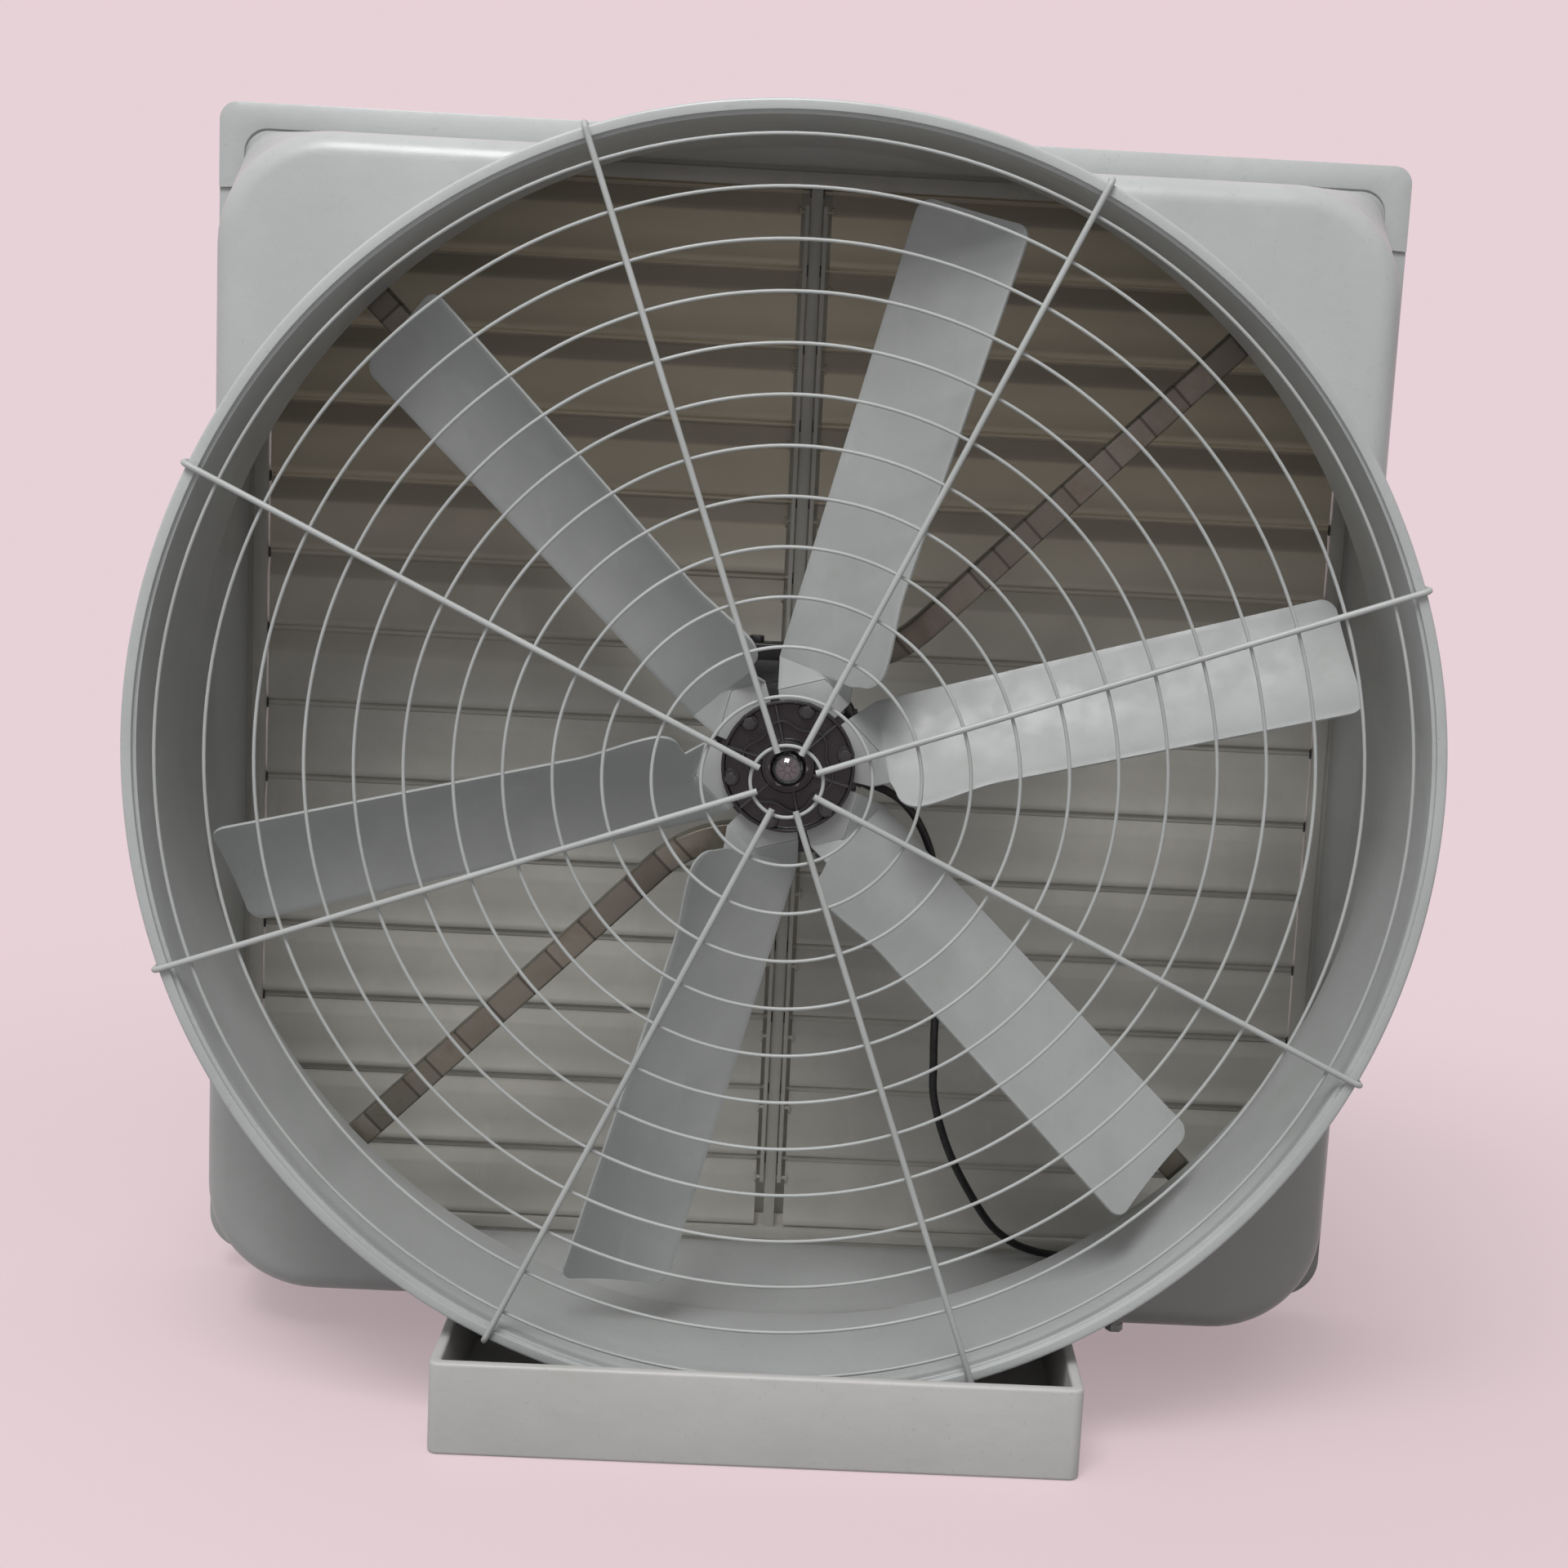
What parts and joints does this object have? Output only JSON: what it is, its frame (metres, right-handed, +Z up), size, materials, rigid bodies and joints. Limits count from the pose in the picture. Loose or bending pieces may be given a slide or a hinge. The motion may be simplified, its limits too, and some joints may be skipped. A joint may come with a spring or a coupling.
{
  "type": "industrial ventilation fan",
  "caption": "Square moulded cone fan with a round horn, wire guard, pitched blades on a braced direct-drive motor, a linked back shutter and a floor tray.",
  "frame": {"origin": "centre of the bounding box on the floor plane under the tray", "axes": "+X to the right seen from the outlet, +Y from the outlet towards the shutter, +Z up; the impeller axis runs along Y 762 mm above the floor"},
  "size_m": [1.46, 0.56, 1.492],
  "materials": {
    "shell": "satin gel coat on moulded glass fibre",
    "guard_wire": "light grey powder coat",
    "blade": "satin light grey paint",
    "hub_black": "gloss black paint over casting",
    "bolt_steel": "plain zinc-plated steel",
    "bolt_black": "blackened steel",
    "nut_chrome": "polished",
    "shaft_steel": "ground steel",
    "motor_black": "black enamel on casting",
    "rotor_aluminium": "die-cast",
    "stator_steel": "laminated electrical steel",
    "copper": "enamelled copper wire",
    "brace_steel": "polished stainless tube",
    "rubber_black": "black rubber",
    "plastic_black": "black moulded plastic",
    "plastic_grey": "grey moulded plastic",
    "shutter": "matt grey coated sheet",
    "tray": "slightly rough moulded glass fibre"
  },
  "bodies": {
    "housing": {"housing_shell": "shell", "outlet_horn": "shell", "guard_rings": "guard_wire", "guard_rods": "guard_wire", "front_bearing": "shaft_steel", "rear_bearing": "shaft_steel", "stator_core": "stator_steel", "stator_windings": "copper", "motor_frame": "motor_black", "front_bell": "motor_black", "rear_bell": "motor_black", "bell_screws": "bolt_steel", "brace_upper": "brace_steel", "brace_lower": "brace_steel", "corner_pads": "shell", "brace_bolts": "bolt_steel", "motor_saddles": "motor_black", "motor_bolts": "bolt_black", "lead_gland": "plastic_black", "motor_lead": "rubber_black", "junction_box": "plastic_grey", "junction_lid": "plastic_grey", "box_gland": "plastic_black", "supply_gland": "plastic_black", "shutter_frame": "shutter", "shutter_post": "shutter", "frame_screws": "bolt_steel", "base_tray": "tray", "rim_saddle": "rubber_black"},
    "impeller": {"blade_1": "blade", "blade_2": "blade", "blade_3": "blade", "blade_4": "blade", "blade_5": "blade", "blade_6": "blade", "hub_front": "hub_black", "hub_back": "hub_black", "hub_bolts": "bolt_black", "hub_nuts": "bolt_steel", "hub_washer": "hub_black", "dome_nut": "nut_chrome", "shaft_key": "shaft_steel", "motor_shaft": "shaft_steel", "rotor": "rotor_aluminium"},
    "louver_01": {"louver_row_01": "shutter"},
    "louver_02": {"louver_row_02": "shutter"},
    "louver_03": {"louver_row_03": "shutter"},
    "louver_04": {"louver_row_04": "shutter"},
    "louver_05": {"louver_row_05": "shutter"},
    "louver_06": {"louver_row_06": "shutter"},
    "louver_07": {"louver_row_07": "shutter"},
    "louver_08": {"louver_row_08": "shutter"},
    "louver_09": {"louver_row_09": "shutter"},
    "louver_10": {"louver_row_10": "shutter"},
    "louver_11": {"louver_row_11": "shutter"},
    "louver_12": {"louver_row_12": "shutter"},
    "louver_13": {"louver_row_13": "shutter"},
    "louver_14": {"louver_row_14": "shutter"},
    "link_left": {"link_bar_left": "shutter"},
    "link_right": {"link_bar_right": "shutter"}
  },
  "joints": [
    {"name": "fan_spin", "type": "hinge", "parent": "housing", "child": "impeller", "pos_m": [0, -0.22, 0.762], "axis": [0, -1, 0], "continuous": true},
    {"name": "louver_01_hinge", "type": "hinge", "parent": "housing", "child": "louver_01", "pos_m": [0, 0.258, 1.4235], "axis": [-1, 0, 0], "range_deg": [0, 80]},
    {"name": "louver_02_hinge", "type": "hinge", "parent": "housing", "child": "louver_02", "pos_m": [0, 0.258, 1.3282], "axis": [-1, 0, 0], "range_deg": [0, 80]},
    {"name": "louver_03_hinge", "type": "hinge", "parent": "housing", "child": "louver_03", "pos_m": [0, 0.258, 1.2329], "axis": [-1, 0, 0], "range_deg": [0, 80]},
    {"name": "louver_04_hinge", "type": "hinge", "parent": "housing", "child": "louver_04", "pos_m": [0, 0.258, 1.1376], "axis": [-1, 0, 0], "range_deg": [0, 80]},
    {"name": "louver_05_hinge", "type": "hinge", "parent": "housing", "child": "louver_05", "pos_m": [0, 0.258, 1.0423], "axis": [-1, 0, 0], "range_deg": [0, 80]},
    {"name": "louver_06_hinge", "type": "hinge", "parent": "housing", "child": "louver_06", "pos_m": [0, 0.258, 0.947], "axis": [-1, 0, 0], "range_deg": [0, 80]},
    {"name": "louver_07_hinge", "type": "hinge", "parent": "housing", "child": "louver_07", "pos_m": [0, 0.258, 0.8517], "axis": [-1, 0, 0], "range_deg": [0, 80]},
    {"name": "louver_08_hinge", "type": "hinge", "parent": "housing", "child": "louver_08", "pos_m": [0, 0.258, 0.7564], "axis": [-1, 0, 0], "range_deg": [0, 80]},
    {"name": "louver_09_hinge", "type": "hinge", "parent": "housing", "child": "louver_09", "pos_m": [0, 0.258, 0.6611], "axis": [-1, 0, 0], "range_deg": [0, 80]},
    {"name": "louver_10_hinge", "type": "hinge", "parent": "housing", "child": "louver_10", "pos_m": [0, 0.258, 0.5658], "axis": [-1, 0, 0], "range_deg": [0, 80]},
    {"name": "louver_11_hinge", "type": "hinge", "parent": "housing", "child": "louver_11", "pos_m": [0, 0.258, 0.4705], "axis": [-1, 0, 0], "range_deg": [0, 80]},
    {"name": "louver_12_hinge", "type": "hinge", "parent": "housing", "child": "louver_12", "pos_m": [0, 0.258, 0.3752], "axis": [-1, 0, 0], "range_deg": [0, 80]},
    {"name": "louver_13_hinge", "type": "hinge", "parent": "housing", "child": "louver_13", "pos_m": [0, 0.258, 0.2799], "axis": [-1, 0, 0], "range_deg": [0, 80]},
    {"name": "louver_14_hinge", "type": "hinge", "parent": "housing", "child": "louver_14", "pos_m": [0, 0.258, 0.1846], "axis": [-1, 0, 0], "range_deg": [0, 80]},
    {"name": "link_left_pivot", "type": "hinge", "parent": "louver_07", "child": "link_left", "pos_m": [-0.0115, 0.248, 0.8277], "axis": [-1, 0, 0], "range_deg": [-80, 0]},
    {"name": "link_right_pivot", "type": "hinge", "parent": "louver_07", "child": "link_right", "pos_m": [0.0115, 0.248, 0.8277], "axis": [-1, 0, 0], "range_deg": [-80, 0]}
  ],
  "couplings": [
    {"joint": "louver_01_hinge", "follows": "louver_07_hinge", "ratio": 1},
    {"joint": "louver_02_hinge", "follows": "louver_07_hinge", "ratio": 1},
    {"joint": "louver_03_hinge", "follows": "louver_07_hinge", "ratio": 1},
    {"joint": "louver_04_hinge", "follows": "louver_07_hinge", "ratio": 1},
    {"joint": "louver_05_hinge", "follows": "louver_07_hinge", "ratio": 1},
    {"joint": "louver_06_hinge", "follows": "louver_07_hinge", "ratio": 1},
    {"joint": "louver_08_hinge", "follows": "louver_07_hinge", "ratio": 1},
    {"joint": "louver_09_hinge", "follows": "louver_07_hinge", "ratio": 1},
    {"joint": "louver_10_hinge", "follows": "louver_07_hinge", "ratio": 1},
    {"joint": "louver_11_hinge", "follows": "louver_07_hinge", "ratio": 1},
    {"joint": "louver_12_hinge", "follows": "louver_07_hinge", "ratio": 1},
    {"joint": "louver_13_hinge", "follows": "louver_07_hinge", "ratio": 1},
    {"joint": "louver_14_hinge", "follows": "louver_07_hinge", "ratio": 1},
    {"joint": "link_left_pivot", "follows": "louver_07_hinge", "ratio": -1},
    {"joint": "link_right_pivot", "follows": "louver_07_hinge", "ratio": -1}
  ]
}
